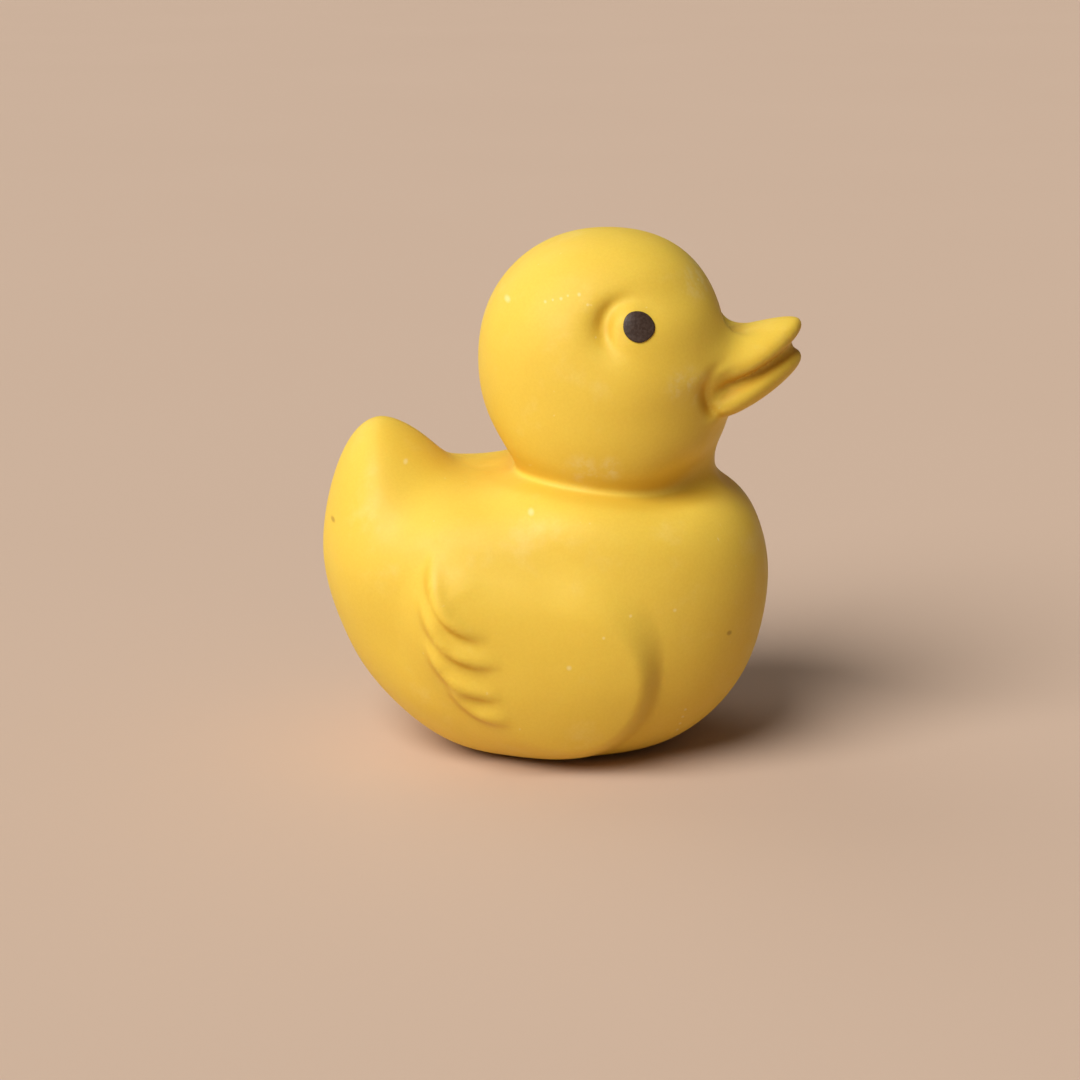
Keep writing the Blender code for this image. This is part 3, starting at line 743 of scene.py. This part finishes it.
def air_hole():
    """The round hole through the base, beside the middle, that lets the hollow breathe."""
    mesh = bpy.data.meshes.new("air_hole")
    hole = bmesh.new()
    radius = AIR_HOLE_DIAMETER / 2
    depth = 4 * WALL
    bmesh.ops.create_cone(hole, cap_ends=True, segments=HOLE_SEGMENTS, radius1=radius, radius2=radius,
                          depth=depth)
    hole.to_mesh(mesh)
    hole.free()
    obj = bpy.data.objects.new("air_hole", mesh)
    obj.location = (BODY_X - AIR_HOLE_BEHIND, 0.0, 0.0)
    bpy.context.scene.collection.objects.link(obj)
    return obj


def store(mesh, name, values):
    attribute = mesh.attributes.new(name, "FLOAT", "POINT")
    attribute.data.foreach_set("value", np.asarray(values, dtype=np.float32))


def hollow_depth(points, reach):
    """1 deep in a hollow and 0 on open skin: how slowly the field grows over the reach outwards."""
    slope = slope_of(skin, points)
    steepness = np.maximum(np.linalg.norm(slope, axis=1, keepdims=True), 1e-9)
    outside = skin(points + slope / steepness * reach)
    return np.clip(1.0 - outside / (reach * steepness[:, 0]), 0.0, 1.0)


def duck_body(material):
    outside = (*TRUNK, *HEAD, *BILL, EYEBALL)
    inside = (*TRUNK, HEAD[0], HEAD[1], HEAD[3])
    body = moulded_skin("duck_skin", outside, 0.0, skin, SKIN_VOXEL, finer=True)
    hollow = moulded_skin("hollow", inside, WALL, cavity_skin, CAVITY_VOXEL, finer=False)
    hole = air_hole()
    cut(body, hollow, "Hollow")
    cut(body, hole, "Air hole")
    apply_modifiers(body)
    for cutter in (hollow, hole):
        bpy.data.objects.remove(cutter, do_unlink=True)
    body.data.shade_smooth()
    body.data.set_sharp_from_angle(angle=np.radians(SHARP_ANGLE))
    # Depths of the creases and the wider hollows, which the rubber colour darkens as painted shade
    store(body.data, "crease", hollow_depth(points_of(body.data), CREASE_REACH))
    store(body.data, "hollow", hollow_depth(points_of(body.data), HOLLOW_REACH))
    body.data.materials.clear()
    body.data.materials.append(material)
    return body


def eye_place(side):
    """The middle of the painted eye on the skin, and the skin's outward direction there."""
    place = np.array([[HEAD_X + EYE_FORWARD, side * HEAD_HALF_WIDTH, HEAD_Z + EYE_UP]])
    for _ in range(30):
        place[0, 1] -= side * skin(place)[0]
    outward = slope_of(skin, place)[0]
    return place[0], outward / np.linalg.norm(outward)


def flat_spot():
    """A round flat disc in rings about the origin, facing up."""
    disc = bmesh.new()
    radius = EYE_DIAMETER / 2
    rings = range(PAINT_RINGS + 1)
    spoke = [disc.verts.new((radius * ring / PAINT_RINGS, 0.0, 0.0)) for ring in rings]
    edges = [disc.edges.new(pair) for pair in zip(spoke, spoke[1:])]
    bmesh.ops.spin(disc, geom=spoke + edges, cent=(0, 0, 0), axis=(0, 0, 1), angle=2 * np.pi,
                   steps=PAINT_SEGMENTS, use_merge=True)
    bmesh.ops.remove_doubles(disc, verts=disc.verts, dist=1e-6)
    bmesh.ops.recalc_face_normals(disc, faces=disc.faces)
    return disc


def painted_eye(name, side, material):
    """A thin film of paint that follows the eyeball, with the slightly uneven edge of a brushed spot."""
    place, outward = eye_place(side)
    disc = flat_spot()
    turn = Vector((0, 0, 1)).rotation_difference(Vector(outward)).to_matrix()
    mesh = bpy.data.meshes.new(name)
    for vert in disc.verts:
        angle = np.arctan2(vert.co.y, vert.co.x)
        uneven = 1.0 + 0.012 * np.sin(3.0 * angle + 0.7) + 0.010 * np.sin(5.0 * angle + 2.0)
        vert.co = turn @ (vert.co * uneven) + Vector(place)
    disc.to_mesh(mesh)
    disc.free()
    points = points_of(mesh)
    for _ in range(8):
        points = onto(skin, points, PAINT_GAP)
    mesh.vertices.foreach_set("co", points.ravel())
    mesh.update()
    if sum(Vector(outward).dot(face.normal) for face in mesh.polygons) < 0:
        mesh.flip_normals()
    mesh.materials.append(material)
    mesh.shade_smooth()
    eye = bpy.data.objects.new(name, mesh)
    bpy.context.scene.collection.objects.link(eye)
    film = eye.modifiers.new("Paint film", "SOLIDIFY")
    film.thickness = PAINT_THICKNESS
    film.offset = 1.0
    apply_modifiers(eye)
    eye.data.shade_smooth()
    return eye


class Nodes:
    """Short ways to add and join shader nodes."""

    def __init__(self, material):
        material.use_nodes = True
        self.tree = material.node_tree
        self.shader = self.tree.nodes["Principled BSDF"]

    def add(self, kind, settings=None, **sockets):
        node = self.tree.nodes.new(kind)
        for key, value in (settings or {}).items():
            setattr(node, key, value)
        for key, value in sockets.items():
            self.feed(node.inputs[key.replace("_", " ")], value)
        return node

    def feed(self, socket, value):
        if isinstance(value, bpy.types.NodeSocket):
            self.tree.links.new(value, socket)
        else:
            socket.default_value = value

    def maths(self, operation, first, second):
        node = self.add("ShaderNodeMath", {"operation": operation})
        self.feed(node.inputs[0], first)
        self.feed(node.inputs[1], second)
        return node.outputs[0]

    def ramp(self, value, low, high, to_low=0.0, to_high=1.0):
        node = self.add("ShaderNodeMapRange", {"interpolation_type": "SMOOTHSTEP"}, Value=value)
        node.inputs["From Min"].default_value = low
        node.inputs["From Max"].default_value = high
        node.inputs["To Min"].default_value = to_low
        node.inputs["To Max"].default_value = to_high
        return node.outputs["Result"]

    def mix(self, factor, first, second):
        node = self.add("ShaderNodeMix", {"data_type": "RGBA"})
        self.feed(node.inputs["Factor"], factor)
        colours = [socket for socket in node.inputs if socket.type == "RGBA"]
        self.feed(colours[0], first)
        self.feed(colours[1], second)
        return [socket for socket in node.outputs if socket.type == "RGBA"][0]

    def noise(self, scale, detail=3.0, roughness=0.5):
        where = self.add("ShaderNodeTexCoord").outputs["Object"]
        node = self.add("ShaderNodeTexNoise", Vector=where, Scale=scale, Detail=detail,
                        Roughness=roughness)
        return node.outputs["Fac"]


def marks_on_right_side(nodes, places, softness):
    """1 inside each round mark and 0 elsewhere, only where y is below 0."""
    place = nodes.add("ShaderNodeTexCoord").outputs["Object"]
    where = nodes.add("ShaderNodeSeparateXYZ", Vector=place)
    flat = nodes.add("ShaderNodeCombineXYZ", X=where.outputs["X"], Z=where.outputs["Z"])
    total = 0.0
    for x, z, radius in places:
        apart = nodes.add("ShaderNodeVectorMath", {"operation": "DISTANCE"})
        nodes.feed(apart.inputs[0], flat.outputs["Vector"])
        apart.inputs[1].default_value = (x, 0.0, z)
        mark = nodes.ramp(apart.outputs["Value"], radius * softness, radius, 1.0, 0.0)
        total = nodes.maths("MAXIMUM", total, mark)
    return nodes.maths("MULTIPLY", total, nodes.maths("LESS_THAN", where.outputs["Y"], 0.0))


def rubber_colour(nodes):
    """Yellow with slight cloudiness, bloom, grain and small marks, a painted highlight among the pale
    marks, and painted shade in the creases and hollows.
    """
    cloud = nodes.ramp(nodes.noise(70.0, 3.0), 0.35, 0.68)
    colour = nodes.mix(nodes.maths("MULTIPLY", cloud, 0.5), YELLOW, CLOUD_YELLOW)
    bloom = nodes.ramp(nodes.noise(120.0, 6.0, 0.6), 0.56, 0.75)
    colour = nodes.mix(nodes.maths("MULTIPLY", bloom, 0.22), colour, BLOOM_COLOUR)
    grain = nodes.ramp(nodes.noise(2600.0, 3.0, 0.7), 0.35, 0.65)
    colour = nodes.mix(nodes.maths("MULTIPLY", grain, 0.16), colour, GRAIN_COLOUR)
    # Pale patches, broken up: partly bloom, partly painted highlight
    bloom_and_highlight_patches = marks_on_right_side(nodes, PALE_PATCHES, 0.1)
    broken = nodes.ramp(nodes.noise(520.0, 5.0, 0.65), 0.42, 0.66, 0.05, 0.42)
    colour = nodes.mix(nodes.maths("MULTIPLY", bloom_and_highlight_patches, broken), colour, BLOOM_AND_HIGHLIGHT_COLOUR)
    # Pale specks, with one painted highlight among them
    speckle = nodes.ramp(nodes.noise(700.0, 2.0), 0.74, 0.80, 0.0, 0.35)
    specks_and_highlight = nodes.maths("MULTIPLY", marks_on_right_side(nodes, PALE_SPECKS_AND_HIGHLIGHT, 0.2), 0.42)
    colour = nodes.mix(nodes.maths("MAXIMUM", specks_and_highlight, speckle), colour, SPECK_AND_HIGHLIGHT_COLOUR)
    pits = nodes.maths("MULTIPLY", marks_on_right_side(nodes, DARK_SPECKS, 0.3), 0.6)
    colour = nodes.mix(pits, colour, PIT_COLOUR)
    # Painted shade: the colour darkens in the wide hollows and then in the creases
    hollow = nodes.add("ShaderNodeAttribute", {"attribute_name": "hollow"}).outputs["Fac"]
    colour = nodes.mix(nodes.ramp(hollow, 0.05, 0.60, 0.0, 0.45), colour, HOLLOW_SHADE_COLOUR)
    crease = nodes.add("ShaderNodeAttribute", {"attribute_name": "crease"}).outputs["Fac"]
    return nodes.mix(nodes.ramp(crease, 0.12, 0.75, 0.0, 0.6), colour, CREASE_SHADE_COLOUR)


def waxy_rubber():
    """Satin rubber that lets a little light in, with fine unevenness."""
    material = bpy.data.materials.new("yellow_rubber")
    nodes = Nodes(material)
    nodes.feed(nodes.shader.inputs["Base Color"], rubber_colour(nodes))
    roughness = nodes.ramp(nodes.noise(260.0, 4.0), 0.3, 0.7, 0.46, 0.58)
    nodes.feed(nodes.shader.inputs["Roughness"], roughness)
    nodes.shader.inputs["Specular IOR Level"].default_value = 0.26
    nodes.shader.inputs["Subsurface Weight"].default_value = 0.14
    nodes.shader.inputs["Subsurface Radius"].default_value = (1.0, 0.5, 0.12)
    nodes.shader.inputs["Subsurface Scale"].default_value = 0.0016
    bump = nodes.add("ShaderNodeBump", Height=nodes.noise(900.0, 4.0), Strength=0.10, Distance=0.0002)
    waves = nodes.add("ShaderNodeBump", Height=nodes.noise(140.0, 2.0), Strength=0.25, Distance=0.0004,
                      Normal=bump.outputs["Normal"])
    nodes.feed(nodes.shader.inputs["Normal"], waves.outputs["Normal"])
    return material


def brown_paint():
    material = bpy.data.materials.new("eye_paint")
    nodes = Nodes(material)
    speckle = nodes.ramp(nodes.noise(2600.0, 4.0, 0.7), 0.35, 0.7)
    colour = nodes.mix(speckle, DARK_PAINT, WORN_PAINT)
    nodes.feed(nodes.shader.inputs["Base Color"], colour)
    nodes.feed(nodes.shader.inputs["Roughness"], nodes.ramp(speckle, 0.0, 1.0, 0.42, 0.60))
    bump = nodes.add("ShaderNodeBump", Height=speckle, Strength=0.3, Distance=0.00005)
    nodes.feed(nodes.shader.inputs["Normal"], bump.outputs["Normal"])
    return material


def plain_ground():
    """One wide pale floor, far enough to fill the picture behind the duck."""
    material = bpy.data.materials.new("pale_ground")
    nodes = Nodes(material)
    grain = nodes.noise(6.0, 2.0)
    colour = nodes.mix(grain, *GROUND_COLOURS)
    nodes.feed(nodes.shader.inputs["Base Color"], colour)
    nodes.shader.inputs["Roughness"].default_value = 0.9
    nodes.shader.inputs["Specular IOR Level"].default_value = 0.1
    mesh = bpy.data.meshes.new("ground")
    plane = bmesh.new()
    bmesh.ops.create_grid(plane, x_segments=1, y_segments=1, size=GROUND_SIZE)
    plane.to_mesh(mesh)
    plane.free()
    mesh.materials.append(material)
    ground = bpy.data.objects.new("ground", mesh)
    bpy.context.scene.collection.objects.link(ground)


def lamp(name, direction, strength, angle):
    """A broad distant light that comes from the given direction."""
    light = bpy.data.lights.new(name, "SUN")
    light.energy = strength
    light.angle = np.radians(angle)
    obj = bpy.data.objects.new(name, light)
    obj.rotation_euler = Vector(direction).to_track_quat("Z", "Y").to_euler()
    bpy.context.scene.collection.objects.link(obj)


def studio():
    for lamp_values in LAMPS:
        lamp(*lamp_values)
    world = bpy.data.worlds.new("studio")
    bpy.context.scene.world = world
    world.use_nodes = True
    background = world.node_tree.nodes["Background"]
    background.inputs["Color"].default_value = WORLD_COLOUR
    background.inputs["Strength"].default_value = 1.0
    plain_ground()


def camera():
    data = bpy.data.cameras.new("camera")
    data.lens = CAMERA_LENS
    data.sensor_width = 36.0
    obj = bpy.data.objects.new("camera", data)
    elevation = np.radians(CAMERA_ELEVATION)
    back = Vector((0.0, -np.cos(elevation), np.sin(elevation)))
    obj.location = Vector(CAMERA_TARGET) + back * CAMERA_DISTANCE
    obj.rotation_euler = (np.radians(90.0 - CAMERA_ELEVATION), 0.0, 0.0)
    bpy.context.scene.collection.objects.link(obj)
    bpy.context.scene.camera = obj


def main():
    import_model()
    bpy.context.scene.view_settings.view_transform = "Standard"
    body = duck_body(waxy_rubber())
    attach(body, "root")
    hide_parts("duck_body")
    paint = brown_paint()
    for name, side in (("eye_right", -1), ("eye_left", 1)):
        eye = painted_eye("paint_" + name, side, paint)
        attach(eye, "root")
        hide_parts(name)
    studio()
    camera()


main()
